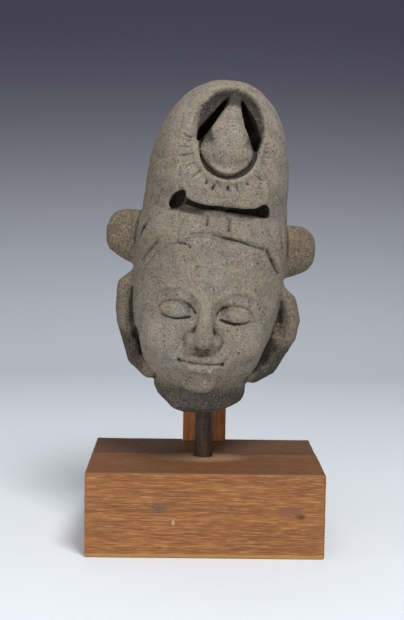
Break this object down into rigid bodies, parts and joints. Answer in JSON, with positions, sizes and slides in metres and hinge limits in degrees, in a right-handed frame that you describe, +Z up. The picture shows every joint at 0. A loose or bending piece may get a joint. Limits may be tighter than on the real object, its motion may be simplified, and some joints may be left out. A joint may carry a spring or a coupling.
{
  "type": "deity head",
  "caption": "Carved stone head of a deity in a tall domed headdress with a drop-shaped jewel, side knobs and long ears, on a rod and slat over a wooden block.",
  "frame": {"origin": "middle of the wooden block's underside", "axes": "+Z up, the face looks along -Y, +X to the right as seen from the front"},
  "size_m": [0.2, 0.145, 0.3996],
  "materials": {
    "stone": "weathered, grainy, pitted",
    "rod_metal": "dark brown patina",
    "slat_wood": "satin, upright grain",
    "block_wood": "satin, worn edges"
  },
  "bodies": {
    "root": {"stone_head": "stone", "support_rod": "rod_metal", "wooden_slat": "slat_wood", "wooden_block": "block_wood"}
  },
  "joints": []
}
